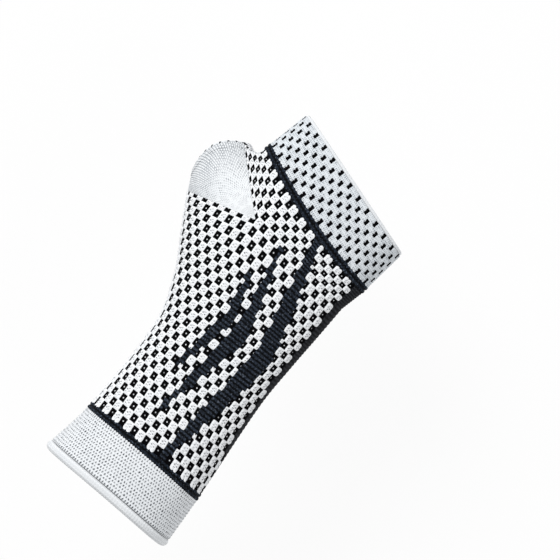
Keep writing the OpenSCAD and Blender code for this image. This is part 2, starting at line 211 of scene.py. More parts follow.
def swell(light, axis):
    """Signs at boundaries along one axis of the chart: 1 where light lies before dark, -1 the other way."""
    return -np.diff(light, axis=axis, prepend=light.take([0], axis), append=light.take([-1], axis))


def boundary_shift(signs, step, fraction):
    """Shifts of the boundaries (courses, boundaries) at fine rows, each in a course by a fraction."""
    before, here, after = (signs[np.clip(step + k, 0, len(signs) - 1)] for k in (-1, 0, 1))
    low, high = (np.where(other == here, here, 0) * SWELL_ENDS for other in (before, after))
    f = fraction[:, None]
    return low * (1 - f) + high * f + SWELL_MIDDLE * np.sin(math.pi * f) * here


def moved(value, step, fraction, shift):
    """Fine coordinates, drawn along by the boundaries of the stitch that each is in."""
    near, far = np.maximum(0, 1 - 2 * fraction), np.maximum(0, 2 * fraction - 1)
    return value + shift[:, step] * near + shift[:, np.minimum(step + 1, shift.shape[1] - 1)] * far


def fine(first, last, parts):
    """Fine coordinates from first to last, with the whole number below each and the fraction above it."""
    count = (last - first) * parts
    value = first + np.arange(count + 1) / parts
    step = first + np.arange(count + 1) // parts
    return value, step, value - step


def corners_of(grid):
    """The four corners of each face of a grid."""
    return np.stack([grid[:-1, :-1], grid[1:, :-1], grid[1:, 1:], grid[:-1, 1:]], axis=2)


def knit_grid(courses, wales, lines_of, reach_of, chart, parts=(4, 5), relief=1.0, lobes=(0.0, 0.0),
              swells=1.0):
    """A fine grid of a band of knit, with the relief of its stitches.

    Wales run from -wales on the palm to wales on the back. lines_of gives the courses as lines of points,
    reach_of the distances along them, positive on the back, and chart the yarn of each stitch. Light stitches
    at the first and last course reach over the edge by the lobes."""
    w, wi, wf = fine(-wales, wales, parts[0])
    v, vi, vf = fine(*courses, parts[1])

    def base(course, wale):
        """Points of the plain surface, and whether each is past the end of its course."""
        back, palm, reach = lines_of(course, 1), lines_of(course, -1), reach_of(course, wale)
        points = np.where((reach >= 0)[..., None], along(back, reach), along(palm, -reach))
        ends = np.where(reach >= 0, run_of(back)[:, -1:], run_of(palm)[:, -1:])
        return points, np.abs(reach) >= ends - LINE_END

    rows = np.arange(*courses)
    cols = np.arange(-wales, wales)
    middle = base(rows + 0.5, np.repeat(cols[None] + 0.5, len(rows), 0))[0]
    yarn = chart(cols[None], rows[:, None], middle)
    light = np.isin(yarn, (WHITE, GREY)).astype(int)

    row, col = vi - courses[0], wi + wales
    wale = moved(w, col, wf, boundary_shift(swell(light, 1), row, vf) * swells)
    course = np.clip(moved(v, row, vf, boundary_shift(swell(light, 0).T, col, wf) * swells).T, *courses)
    petal = np.sin(math.pi * wf) ** LOBE_POWER
    over = [petal * light[edge, np.minimum(col, len(cols) - 1)] for edge in (0, -1)]
    course[0] -= lobes[0] * over[0]
    course[-1] += lobes[1] * over[-1]

    low, high = np.clip([v - RATE_STEP, v + RATE_STEP], *courses)
    plain, past = base(v, wale)
    rate = (base(high, wale)[0] - base(low, wale)[0]) / (high - low)[:, None, None]
    points = np.where(past[..., None], plain, plain + rate * (course - v[:, None])[..., None])
    normal = np.cross(*np.gradient(plain, axis=(0, 1)))
    length = np.linalg.norm(normal, axis=2, keepdims=True)
    normal = np.where(length > NO_LENGTH, normal / np.maximum(length, NO_LENGTH), 0)

    # Heights: the mean of the stitches that meet at a point, and a crown inside each stitch
    def touching(values):
        r, c = ([np.clip(step - (part == 0) * back, 0, count - 1) for back in (0, 1)]
                for step, part, count in ((row, vf, len(rows)), (col, wf, len(cols))))
        return sum(values[np.ix_(i, j)] for i in r for j in c) / 4

    crown_w, crown_v = (1 - (2 * part - 1) ** 2 for part in (wf, vf))
    dip = touching(DIP[yarn])
    lift = touching(REST[yarn]) - GROOVE
    lift += touching(CROWN[yarn]) * crown_v[:, None] * (1 - dip * (1 - crown_w[None]))
    lift = np.where(past, 0, lift) * relief
    for edge in (0, -1):
        lift[edge] += LOBE_LIFT * over[edge] * (lobes[edge] > 0) * ~past[edge]
    face_stitch = np.ix_(np.arange(len(v) - 1) // parts[1], np.arange(len(w) - 1) // parts[0])
    return {"points": points + normal * lift[..., None], "plain": plain,
            "uv": np.stack(np.meshgrid(w, v), axis=2), "show": ~corners_of(past).all(axis=2),
            "stitch": yarn, "face_stitch": face_stitch, "yarn": yarn[face_stitch]}


def add(name, data):
    obj = bpy.data.objects.new(name, data)
    bpy.context.scene.collection.objects.link(obj)
    return obj


# Points nearer than this, in metres, become one
MERGE = 2e-6


def mesh_object(name, grids, *materials):
    """One object from grids of points, which may be partly shown, closed to a ring or turned inward."""
    verts, polys, loops_uv, numbers, first = [], [], [], [], 0
    for g in grids:
        rows, cols = g["points"].shape[:2]
        index = first + np.arange(rows * cols).reshape(rows, cols)
        if g.get("closed"):
            index = np.concatenate([index, index[:, :1]], axis=1)
        quad, corner = corners_of(index), corners_of(g["uv"])
        if g.get("inward"):
            quad, corner = quad[..., ::-1], corner[:, :, ::-1]
        show = g.get("show", np.ones(quad.shape[:2], bool))
        verts.append(g["points"].reshape(-1, 3))
        polys.append(quad[show])
        loops_uv.append(corner[show].reshape(-1, 2))
        numbers.append(np.broadcast_to(g.get("material", 0), quad.shape[:2])[show])
        first += rows * cols
    verts, polys = np.concatenate(verts) * MM, np.concatenate(polys)
    loops_uv, numbers = np.concatenate(loops_uv), np.concatenate(numbers)
    mesh = bpy.data.meshes.new(name)
    mesh.vertices.add(len(verts))
    mesh.vertices.foreach_set("co", verts.ravel())
    mesh.loops.add(polys.size)
    mesh.loops.foreach_set("vertex_index", polys.ravel().astype(np.int32))
    mesh.polygons.add(len(polys))
    for key, given in (("loop_start", np.arange(0, polys.size, 4)), ("loop_total", np.full(len(polys), 4)),
                       ("material_index", numbers)):
        mesh.polygons.foreach_set(key, given.astype(np.int32))
    mesh.polygons.foreach_set("use_smooth", np.ones(len(polys), bool))
    mesh.uv_layers.new(name="knit").data.foreach_set("uv", loops_uv.ravel().astype(np.float32))
    mesh.update(calc_edges=True)
    work = bmesh.new()
    work.from_mesh(mesh)
    bmesh.ops.remove_doubles(work, verts=work.verts, dist=MERGE)
    bmesh.ops.delete(work, geom=[v for v in work.verts if not v.link_faces], context="VERTS")
    work.to_mesh(mesh)
    work.free()
    for material in materials:
        mesh.materials.append(material)
    return add(name, mesh)


# Materials. A colour is written as it looks, from 0 to 255 in sRGB, and changed to linear values.
def rgb(r, g, b):
    return tuple((c / 255 / 12.92) if c <= 10 else ((c / 255 + 0.055) / 1.055) ** 2.4 for c in (r, g, b))


class Nodes:
    """A material's node tree, built by short calls."""

    def __init__(self, name, rough):
        self.material = bpy.data.materials.new(name)
        self.material.use_nodes = True
        self.tree = self.material.node_tree
        self.surface = self.tree.nodes["Principled BSDF"]
        self.put(self.surface, {"Roughness": rough})

    def put(self, node, inputs):
        """Sets a node's inputs, each to a number, a colour or another node's output."""
        for key, given in inputs.items():
            if isinstance(given, bpy.types.NodeSocket):
                self.tree.links.new(given, node.inputs[key])
            else:
                node.inputs[key].default_value = given

    def node(self, kind, inputs=None, **settings):
        node = self.tree.nodes.new(kind)
        for key, given in settings.items():
            setattr(node, key, given)
        self.put(node, inputs or {})
        return node

    def value(self, operation, *inputs):
        return self.node("ShaderNodeMath", dict(enumerate(inputs)), operation=operation).outputs[0]

    def times(self, a, b):
        return self.value("MULTIPLY", a, b)

    def plus(self, a, b):
        return self.value("ADD", a, b)

    def minus(self, a, b):
        return self.value("SUBTRACT", a, b)


# Scales of the noise in a yarn: its fibres, its twist, changes from stitch to stitch, and broad patches
FIBRE, TWIST, SPECK, PATCH = 2600.0, 1300.0, 420.0, 90.0
# Gloss of yarn and of the black yarn, roughness of the sheen, and depth of the bump in metres
GLOSS, BLACK_GLOSS, SHEEN_ROUGH, BUMP_DEPTH = 0.12, 0.06, 0.5, 0.0002
# How much fibres raise a yarn beside its stitches, and the slant of a stitch's legs in courses
FIBRE_LIFT, LEAN = 0.5, 0.4


class Yarn(Nodes):
    """The material of a yarn, whose stitches are counted in wales and courses by the mesh's UV map."""

    def __init__(self, name, rough, sheen=0.0, gloss=GLOSS):
        super().__init__(name, rough)
        self.put(self.surface, {"Specular IOR Level": gloss, "Sheen Weight": sheen,
                                "Sheen Roughness": SHEEN_ROUGH})
        uv = self.node("ShaderNodeUVMap", uv_map="knit").outputs["UV"]
        split = self.node("ShaderNodeSeparateXYZ", {0: uv}).outputs
        self.wale, self.course = split[0], split[1]

    def from_middle(self, coordinate, period):
        """Distance from the middle of each period of a coordinate, in its own units."""
        share = self.value("FRACT", self.value("DIVIDE", coordinate, period))
        return self.times(self.minus(share, 0.5), period)

    def spot(self, x, y, radius, soft):
        """1 inside an ellipse round x = y = 0 with radius (rx, ry), fading to 0 over a share of it."""
        squares = [self.value("POWER", self.value("ABSOLUTE", self.value("DIVIDE", given, r)), 2)
                   for given, r in zip((x, y), radius)]
        return self.ramp(self.value("SQRT", self.plus(*squares)), 1 - soft, 1 + soft, 1.0, 0.0)

    def ramp(self, given, first, last, low=0.0, high=1.0):
        """A smooth step from low to high while the given value goes from first to last."""
        inputs = {"Value": given, "From Min": first, "From Max": last, "To Min": low, "To Max": high}
        return self.node("ShaderNodeMapRange", inputs, interpolation_type="SMOOTHSTEP").outputs["Result"]

    def line(self, distance, half):
        """1 on a line and 0 at half its breadth from it."""
        return self.ramp(self.value("ABSOLUTE", distance), 0.0, half, 1.0, 0.0)

    def noise(self, scale, detail=3.0):
        inputs = {"Vector": self.node("ShaderNodeTexCoord").outputs["Object"], "Scale": scale, "Detail": detail}
        return self.node("ShaderNodeTexNoise", inputs).outputs["Fac"]

    def varied(self, low, high, first=0.35):
        """A value between low and high that changes from stitch to stitch."""
        return self.ramp(self.noise(SPECK, 1.0), first, 0.65, low, high)

    def jitter(self, scale, size):
        """A value round 0 that changes from stitch to stitch."""
        return self.times(self.minus(self.noise(scale, 1.0), 0.5), size)

    def colour(self, share, *ends):
        """A colour between two, by a share from 0 to 1: sRGB tuples, or what an input takes as it is."""
        first, second = (rgb(*given) + (1.0,) if isinstance(given, tuple) else given for given in ends)
        return self.node("ShaderNodeMix", {0: share, 6: first, 7: second}, data_type="RGBA").outputs[2]

    def stitches(self, lean=LEAN):
        """Height of the two leaning legs of each stitch, from 0 to 1."""
        leg = self.times(self.value("ABSOLUTE", self.from_middle(self.wale, 1)), 2 * lean)
        angle = self.times(self.minus(self.course, leg), math.pi)
        return self.value("ABSOLUTE", self.value("SINE", angle))

    def fibrous(self, legs, lift=FIBRE_LIFT):
        """The height of stitches with their fibres."""
        return self.plus(legs, self.times(self.noise(FIBRE), lift))

    def finish(self, colour, bump, strength):
        bumped = self.node("ShaderNodeBump", {"Height": bump, "Strength": strength, "Distance": BUMP_DEPTH})
        self.put(self.surface, {"Base Color": colour, "Normal": bumped.outputs["Normal"]})
        return self.material


# Shade in the grooves of a plain yarn: its share, and its colour as a share of the yarn's
SHADE_SHARE, SHADE_DEPTH = 0.35, 0.6


def plain_yarn(name, dark, pale, rough=0.85):
    """A yarn that is a little darker in its grooves and varies from place to place."""
    s = Yarn(name, rough, sheen=0.15)
    body = s.colour(s.noise(PATCH), dark, pale)
    legs = s.stitches()
    groove = s.times(s.minus(1.0, legs), SHADE_SHARE)
    shade = s.colour(groove, body, [c * SHADE_DEPTH for c in rgb(*dark)] + [1.0])
    return s.finish(shade, s.fibrous(legs), 0.4)


def dark_yarn(name, dark, pale, fleck, flecks, lean):
    """A dark twisted yarn with pale flecks along its twist. Painted shade makes it nearly black between its
    ribs and darker at the ends of each stitch.
    """
    s = Yarn(name, 0.85)
    legs = s.stitches(lean)
    # Painted shade at the ends of each stitch along a course, times a tone that varies at random
    stitch = s.ramp(s.value("ABSOLUTE", s.from_middle(s.wale, 1)), 0.3, 0.5, 1.0, 0.35)
    stitch = s.times(stitch, s.varied(0.4, 1.15, first=0.3))
    # Painted shade: nearly black between the ribs, the yarn's own colour on their crowns
    body = s.colour(s.times(s.ramp(legs, 0.45, 1.0), stitch), dark, pale)
    twist = s.ramp(s.noise(TWIST, 2.0), 0.55, 0.72)
    body = s.colour(s.times(twist, s.times(legs, flecks)), body, fleck)
    return s.finish(body, s.fibrous(legs), 0.6)


# Gaps in a white check, from its middle: wales across, courses up and radius in wales
WHITE_GAPS = ((-0.42, -0.10, 0.17), (0.36, 0.14, 0.16), (-0.36, 0.52, 0.13), (0.42, -0.46, 0.13),
              (0.02, 0.4, 0.1), (-0.04, -0.42, 0.1))
GAP_FLATTEN = 0.9
# Painted shade in the seams between the stitches of a white check: half breadth in wales and courses, and
# strength
SEAM_SHADE_HALF, SEAM_SHADE_SHARE = (0.16, 0.13), 0.5


def white_yarn():
    """The puffy white of the checks: four stitches to a check, with painted shade in the seams between them,
    and small gaps.
    """
    s = Yarn("white_yarn", 0.9, sheen=0.2)
    body = s.colour(s.noise(PATCH), (236, 239, 242), (247, 248, 250))
    x, y = s.from_middle(s.wale, 2), s.from_middle(s.course, 2)
    # Painted shade along the seams between the four stitches of a check
    seam_shade = s.value("MAXIMUM", s.line(x, SEAM_SHADE_HALF[0]), s.line(y, SEAM_SHADE_HALF[1]))
    body = s.colour(s.times(seam_shade, SEAM_SHADE_SHARE), body, (205, 209, 215))
    gaps = 0.0
    for across_by, up_by, size in WHITE_GAPS:
        from_gap = s.minus(x, across_by), s.minus(y, up_by)
        gaps = s.plus(s.spot(*from_gap, (size, size * GAP_FLATTEN), soft=0.5), gaps)
    body = s.colour(s.times(gaps, s.varied(0.5, 1.0)), body, (40, 44, 52))
    return s.finish(body, s.fibrous(s.stitches()), 0.3)


# Radius in wales and courses of the fleck in a dark check, and of the white that joins over its corner
FLECK_RADIUS, JOIN_RADIUS = (0.17, 0.15), (0.2, 0.17)


def black_yarn(name, joined):
    """The dark of the checks, with a fleck of white where its four stitches meet. Where white checks meet
    across a corner, their white reaches over it."""
    s = Yarn(name, 0.95, gloss=BLACK_GLOSS)
    body = s.colour(s.noise(PATCH), (2, 2, 3), (6, 6, 8))
    fleck = s.spot(s.from_middle(s.wale, 2), s.from_middle(s.course, 2), FLECK_RADIUS, soft=0.45)
    body = s.colour(s.times(fleck, s.varied(0.4, 1.0)), body, (236, 238, 241))
    if joined:
        from_corner = [s.from_middle(s.plus(given, 1.0), 2) for given in (s.wale, s.course)]
        body = s.colour(s.spot(*from_corner, JOIN_RADIUS, soft=0.5), body, (234, 237, 240))
    return s.finish(body, s.fibrous(s.stitches()), 0.3)


# Painted shade between the courses of fine knit: its half breadth in courses, and the wales where it begins and
# is full
GROOVE_SHADE_HALF, GROOVE_SHADE_FROM, GROOVE_SHADE_FULL = 0.3, 7.0, 20.0
# Gaps of fine knit: radius, how far they wander, in stitches, and depth
GAP_RADIUS, GAP_WANDER, GAP_CLIMB, GAP_DEPTH = (0.22, 0.3), 0.9, 0.7, 0.8
CLIMB_SCALE = SPECK * 1.4
# Larger gaps along a crease, painted darker as shade: place in courses, radius and strength
CREASE_AT, CREASE_RADIUS, CREASE_SHADE_SHARE = 0.2, (0.26, 0.26), 0.6


def fine_knit(name, dark, pale, gap_shade_colour, gap_shade_share, patchy, wales=1.0, gap_size=1.0, grooves=0.0,
              crease=False):
    """A fine pale knit with staggered gaps, painted dark as shade in its holes. Patchy gaps come and go,
    grooves darken the knit between courses with painted shade, and a crease has larger gaps at the first
    course, painted darker as shade."""
    s = Yarn(name, 0.9, sheen=0.2)
    body = s.colour(s.noise(PATCH), dark, pale)
    if grooves:
        # Painted shade between the courses, growing in along the wales
        groove_shade = s.line(s.from_middle(s.plus(s.course, 0.5), 1), GROOVE_SHADE_HALF)
        groove_shade = s.times(groove_shade, s.ramp(s.wale, GROOVE_SHADE_FROM, GROOVE_SHADE_FULL, 0.0, grooves))
        body = s.colour(groove_shade, body, (96, 106, 116))
    wale = s.plus(s.wale, s.times(s.value("FLOOR", s.course), 0.5 * wales))
    x = s.from_middle(s.plus(wale, s.jitter(SPECK, GAP_WANDER * wales)), wales)
    y = s.from_middle(s.plus(s.course, s.jitter(CLIMB_SCALE, GAP_CLIMB)), 1)
    gap = s.spot(x, y, (GAP_RADIUS[0] * wales * gap_size, GAP_RADIUS[1] * gap_size), soft=0.6)
    gap_shade = s.times(gap, s.varied(gap_shade_share * (1 - patchy), gap_shade_share))
    # Painted shade in the holes of the knit
    body = s.colour(gap_shade, body, gap_shade_colour)
    if crease:
        # Painted shade in the larger holes along the crease
        crease_shade = s.spot(s.from_middle(s.wale, 1), s.minus(s.course, CREASE_AT), CREASE_RADIUS, 0.7)
        body = s.colour(s.times(crease_shade, CREASE_SHADE_SHARE), body, (60, 66, 74))
    bump = s.minus(s.fibrous(s.stitches(), 0.4), s.times(gap, GAP_DEPTH))
    return s.finish(body, bump, 0.35)


white = white_yarn()
black = black_yarn("black_yarn", False)
black_joined = black_yarn("black_yarn_joined", True)
# The first colour of a dark yarn is painted shade between its ribs, the second the yarn's own colour
navy = dark_yarn("navy_yarn", (1, 2, 5), (44, 52, 64), (110, 120, 134), 0.6, lean=0.15)
stripe_navy = dark_yarn("stripe_yarn", (1, 2, 4), (30, 37, 48), (96, 106, 120), 0.8, lean=0.3)
charcoal = dark_yarn("charcoal_yarn", (16, 17, 20), (46, 48, 53), (90, 92, 96), 0.4, lean=0.15)
# The dark gap colours of the fine knits below are painted shade in their holes
grey = fine_knit("grey_knit", (228, 232, 236), (240, 243, 246), (40, 46, 54), 1.0, patchy=0.3,
                 crease=True)
# The heel's knit also has painted shade between its courses
heel_grey = fine_knit("heel_knit", (236, 240, 243), (246, 248, 250), (88, 96, 106), 0.75,
                      patchy=0.7, grooves=0.75)
pale = fine_knit("palm_cuff_knit", (221, 227, 232), (236, 241, 245), (84, 92, 104), 0.75,
                 patchy=0.6, wales=0.5, gap_size=1.35)
inside = plain_yarn("inside_knit", (150, 152, 158), (176, 178, 184))
edge_white = plain_yarn("edge_yarn", (230, 234, 238), (245, 247, 249))
rubber = plain_yarn("covered_elastic", (226, 222, 210), (238, 235, 226), 0.6)


# The check knit. Courses are counted from the forearm stripe, two to each row of checks.
COURSE_COUNTS = np.array([0.0, 23, 35, 43, 53])
COURSE_PLACES = np.array([Y_SLEEVE, Y_WRIST, 107.2, 121.1, Y_HEEL])
SPLIT_COURSE, WRIST_COURSE, HEEL_COURSE, LAST_COURSE = 24, 23, 53, 62
HALF_WALES, NEAR_WALES = 52, 37
# At some courses: pitch of the wales above the wrist, near the little finger and the thumb, and the twist
NEAR_PITCH = (23, 39, 53), (1.684, 1.72, 1.79)
FAR_PITCH = (23, 31, 36, 43), (1.684, 1.80, 1.80, 1.62)
SLEEVE_TWIST = (0, 15, 23, 31, 53), (0.3, 3.0, 2.2, 0.4, 0.9)


def place_of(course):
    """Places of courses, on a smooth curve through those given."""
    knots, levels = COURSE_COUNTS, COURSE_PLACES
    rates = np.gradient(levels, knots)
    k = np.clip(np.searchsorted(knots, course, side="right") - 1, 0, len(knots) - 2)
    h = knots[k + 1] - knots[k]
    return cubic(levels[k], levels[k + 1], h * rates[k], h * rates[k + 1], (course - knots[k]) / h)


def half_girth(y):
    return run_of(row_lines(np.atleast_1d(y), 1))[:, -1]


def check_reach(course, wale):
    """Wales fill the girth up to the wrist, and above it new ones join at the thumb side. The twist moves all
    the wales sideways."""
    filled = half_girth(place_of(np.minimum(course, WRIST_COURSE))) / HALF_WALES
    near, far = (np.where(course <= WRIST_COURSE, filled, np.interp(course, *pitch))[:, None]
                 for pitch in (NEAR_PITCH, FAR_PITCH))
    count = np.abs(wale)
    distance = near * np.minimum(count, NEAR_WALES) + far * np.maximum(count - NEAR_WALES, 0)
    return np.interp(course, *SLEEVE_TWIST)[:, None] + np.sign(wale) * distance


def lower_lines(course, side):
    return row_lines(place_of(course), side)


# The notch at the crotch: its place up the band, and where along a course it begins
NOTCH_SHARE, NOTCH_FROM = 0.55, 0.5


def upper_lines(course, side):
    """Courses from the upper edge of the heel and the rim, as far as the crotch, to the palm stripe."""
    flip = np.array([1, 1, side])
    back = np.linspace(0, TIP_ANGLE, LINE_STEPS)
    first_back = row_points(HEEL_ROW[None], back[None])[0] * flip
    heel = heel_face(np.linspace(0, 1, HEEL_STEPS)[1:], 0.0 if side > 0 else 1.0)
    end = rim(side * WEB_ANGLE * np.linspace(1, 0, RIM_STEPS)[1:])
    first = np.concatenate([first_back, heel, end])
    stripe = row_at([Y_PALM_STRIPE])
    width, shift = stripe[0, 1:3]
    # Points on the back keep their place across the hand; past the heel's tip, their share of the way
    x = first_back[:, 0]
    edge = shift + width / 2
    x = x[-1] + (x - x[-1]) * (edge - x[-1]) / (x[0] - x[-1])
    angle_back = np.arccos(np.clip(signed_power((x - shift) / (width / 2), POWER / 2), -1, 1))
    rest = run_of(first[None, LINE_STEPS - 1:])[0]
    share = rest[1:] / rest[-1]
    angle = np.r_[angle_back, mix(angle_back[-1], math.pi, share)]
    last = row_points(stripe, angle[None])[0] * flip
    s = ((np.asarray(course) - HEEL_COURSE) / (LAST_COURSE - HEEL_COURSE))[:, None, None]
    notch = CROTCH - mix(first[-1], last[-1], NOTCH_SHARE)
    ease = np.clip((share - NOTCH_FROM) / (1 - NOTCH_FROM), 0, 1)
    ease = np.r_[np.zeros(LINE_STEPS), ease**2 * (3 - 2 * ease)][None, :, None]
    return mix(first[None], last[None], s) + notch * ease * 4 * s * (1 - s)


# Three tapered stripes on the back, in mm: the bend across and along, the ends along, the width, and the
# slants and tapers below and above the bend
STREAKS = (
    ((17.0, 97.0), (28.0, 172.0), 9.2, (0.135, 0.262), (0.62, 0.75)),
    ((1.6, 101.0), (50.0, 147.0), 7.1, (0.17, 0.27), (0.75, 0.75)),
    ((-7.6, 103.0), (72.0, 129.0), 5.4, (0.22, 0.30), (0.55, 0.55)),
)
BEND_ROUND, TAPER_POWER = 8.0, 1.5


def streak(x, y):
    inside_any = np.zeros(np.shape(x), bool)
    for (bend_x, bend_y), ends, width, slants, tapers in STREAKS:
        up = y - bend_y
        t = np.abs(up) / np.where(up < 0, bend_y - ends[0], ends[1] - bend_y)
        middle = bend_x - np.where(up < 0, *slants) * (np.sqrt(up**2 + BEND_ROUND**2) - BEND_ROUND)
        breadth = width * (1 - np.where(up < 0, *tapers) * np.minimum(t, 1) ** TAPER_POWER)
        inside_any |= (np.abs(x - middle) < breadth / 2) & (t < 1)
    return inside_any


# The dark panel: its wales in all, and those on the back, which grow at two courses
PANEL_WALES, PANEL_BACK, PANEL_STEPS = 14, np.array((2, 4, 6)), (10, 26)


def check_chart(wale, course, middle):
    """Checks of two wales by two courses, the stripes, and the panel at the little finger side."""
    cell = np.floor_divide(wale, 2) + np.floor_divide(course, 2)
    yarn = np.where(cell % 2 == 0, WHITE, BLACK)
    x, y, z = np.moveaxis(middle, 2, 0)
    yarn = np.where((z > 0) & streak(x, y), NAVY, yarn)
    back = PANEL_BACK[np.searchsorted(PANEL_STEPS, course, side="right")]
    return np.where((wale < back) & (wale >= back - PANEL_WALES), CHARCOAL, yarn)


# Numbers of the check knit's materials
CHECK_WHITE, CHECK_BLACK, CHECK_NAVY, CHECK_JOINED = range(4)


def check_band(courses, wales, lines_of, lobes=(0.0, 0.0), ends=(True, True)):
    """A band of check knit. Ends tell whether white checks go on past its first and last course."""
    grid = knit_grid(courses, wales, lines_of, check_reach, check_chart, lobes=lobes)
    stitch = grid["stitch"]
    # White joins over the corner of a dark check if both neighbours there are white
    light = np.pad(stitch == WHITE, 1)
    light[0], light[-1] = ends
    course, wale = np.arange(*courses)[:, None], np.arange(-wales, wales)[None]
    before = np.where(course % 2 == 0, light[:-2, 1:-1], light[2:, 1:-1])
    beside = np.where(wale % 2 == 0, light[1:-1, :-2], light[1:-1, 2:])
    number = np.select([stitch == WHITE, (stitch == BLACK) & before & beside, stitch == BLACK],
                       [CHECK_WHITE, CHECK_JOINED, CHECK_BLACK], CHECK_NAVY)
    grid["material"] = number[grid["face_stitch"]]
    return grid


def checks_of(grid):
    return [{**grid, "show": grid["show"] & (grid["yarn"] != CHARCOAL)}]


def panel_of(grid):
    return [{**grid, "show": grid["show"] & (grid["yarn"] == CHARCOAL), "material": 0}]


def check_pieces(name, panel_name, grid):
    knit = mesh_object(name, checks_of(grid), white, black, navy, black_joined)
    return knit, mesh_object(panel_name, panel_of(grid), charcoal)


# Wales on each side, enough for the girth, and how far white checks lie over the stripes
FOREARM_WALES, HAND_WALES, UPPER_WALES = 56, 70, 78
CHECK_LOBE = 0.3
forearm_grid = check_band((0, SPLIT_COURSE), FOREARM_WALES, lower_lines, (CHECK_LOBE, 0.0), (False, True))
hand_grid = check_band((SPLIT_COURSE, HEEL_COURSE), HAND_WALES, lower_lines)
upper_grid = check_band((HEEL_COURSE, LAST_COURSE), UPPER_WALES, upper_lines, (0.0, CHECK_LOBE), (True, False))

forearm_knit, forearm_panel = check_pieces("check_knit_forearm", "ulnar_knit_forearm", forearm_grid)
hand_knit, wrist_panel = check_pieces("check_knit_hand", "ulnar_knit_wrist", hand_grid)
upper_knit, hand_panel = check_pieces("check_knit_palm", "ulnar_knit_hand", upper_grid)


# Faces inside the sleeve: rows and columns of a tube, and the size of a stitch and of a lining's stitch
TUBE_ROWS, TUBE_COLUMNS = 24, 120
STITCH, LINING_STITCH = (1.7, 2.1), (1.5, 1.5)


def tube_grid(places, inset, stitch=STITCH):
    """A plain tube of rows at an inset, for faces that show only inside the sleeve."""
    places = np.asarray(places, float)
    points = row_points(row_at(places), math.pi * np.linspace(-1, 1, TUBE_COLUMNS + 1)[None], inset)
    courses = np.repeat(places[:, None] / stitch[1], TUBE_COLUMNS + 1, 1)
    return {"points": points, "uv": np.stack([run_of(points) / stitch[0], courses], axis=2), "inward": True}


def inner(name, first, last):
    return mesh_object(name, [tube_grid(np.linspace(first, last, TUBE_ROWS), KNIT_WALL)], inside)


split_place = float(place_of(SPLIT_COURSE))
forearm_inside = inner("inside_knit_forearm", Y_STRIPE, split_place)
wrist_inside = inner("inside_knit_wrist", split_place, Y_HEEL)


# The inside above the thumb: a face up to the heel's tip, one of the web, and rows under the stripe
UPPER_ROWS_INSIDE, HAND_STEP, WEB_STEP = 14, 6, 4
STRIPE_ROWS, STRIPE_LAP = 5, 0.5


def upper_inside(side):
    """The insides of the hand and of the web on one side. The wall thins to nothing at the crotch."""
    face = upper_lines(np.linspace(HEEL_COURSE, LAST_COURSE, UPPER_ROWS_INSIDE), side)
    normal = unit(np.cross(*np.gradient(face, axis=(0, 1))) + NO_LENGTH) * side
    tip, end = LINE_STEPS - 1, face.shape[1] - 1
    wall = KNIT_WALL * np.r_[np.ones(LINE_STEPS), np.linspace(1, 0, end - tip)]
    points = face - normal * wall[None, :, None]
    picks = np.r_[0:tip:HAND_STEP, tip], np.r_[tip:end:WEB_STEP, end]
    return [{"points": points[:, pick], "uv": face[:, pick, :2] / STITCH[0], "inward": side > 0}
            for pick in picks]


upper_insides = [upper_inside(side) for side in (1, -1)]
stripe_inside = tube_grid(np.linspace(Y_PALM_STRIPE - STRIPE_LAP, Y_PALM_CUFF, STRIPE_ROWS), KNIT_WALL)
hand_inside = mesh_object("inside_knit_hand", [grids[0] for grids in upper_insides] + [stripe_inside], inside)

# Cuffs, stripes and edges
CUFF_WALES, CUFF_COURSES = 66, 14
PALM_WALES, PALM_COURSES = 52, 16
CUFF_LOBE, PALM_LOBE, PALM_LAP, PALM_RELIEF = 0.35, 0.3, 0.5, 0.7
STRIPE_COURSES, STRIPE_PARTS, STRIPE_RELIEF = 2, (4, 6), 1.3


def band(first, last, courses, wales, chart, parts=(4, 4), relief=1.0, lobes=(0.0, 0.0), swells=1.0):
    """A band of knit round the whole sleeve between two rows."""
    def place(course):
        return first + (last - first) * course / courses

    def reach_of(course, wale):
        return wale * half_girth(place(course))[:, None] / wales

    return knit_grid((0, courses), wales, lambda course, side: row_lines(place(course), side), reach_of, chart,
                     parts, relief, lobes, swells)


def one_yarn(yarn):
    return lambda wale, course, middle: np.full(middle.shape[:2], yarn)


def palm_marks(wale, course, middle):
    """Dark marks of one wale by two courses, four wales apart and half dropped."""
    pair = np.floor_divide(course, 2) % 2
    mark = np.where(pair == 0, wale % 4 == 0, wale % 4 == 2)
    return np.where(mark, BLACK, GREY)


def stripe(name, first, last):
    grid = band(first, last, STRIPE_COURSES, HALF_WALES, one_yarn(NAVY), STRIPE_PARTS, STRIPE_RELIEF)
    return mesh_object(name, [grid], stripe_navy)


cuff_grid = band(Y_CUFF, Y_STRIPE, CUFF_COURSES, CUFF_WALES, one_yarn(GREY), lobes=(0.0, CUFF_LOBE))
forearm_cuff = mesh_object("forearm_cuff_knit", [cuff_grid], grey)
forearm_stripe = stripe("forearm_stripe_knit", Y_STRIPE, Y_SLEEVE)
palm_stripe = stripe("palm_stripe_knit", Y_PALM_STRIPE, Y_PALM_CUFF)
palm_grid = band(Y_PALM_CUFF, Y_PALM_FOLD + PALM_LAP, PALM_COURSES, PALM_WALES, palm_marks, relief=PALM_RELIEF,
                 lobes=(PALM_LOBE, 0.0), swells=0.0)
palm_grid["material"] = np.where(palm_grid["yarn"] == BLACK, 1, 0)
palm_cuff = mesh_object("palm_cuff_knit", [palm_grid], pale, black)

# A lining: rows, how far its last two rows turn out, and how far it goes on past the cuff
LINING_ROWS, LINING_JOIN = 20, (1.0, 0.3)
UNDER_WELT, LINING_LAP = 2, 1


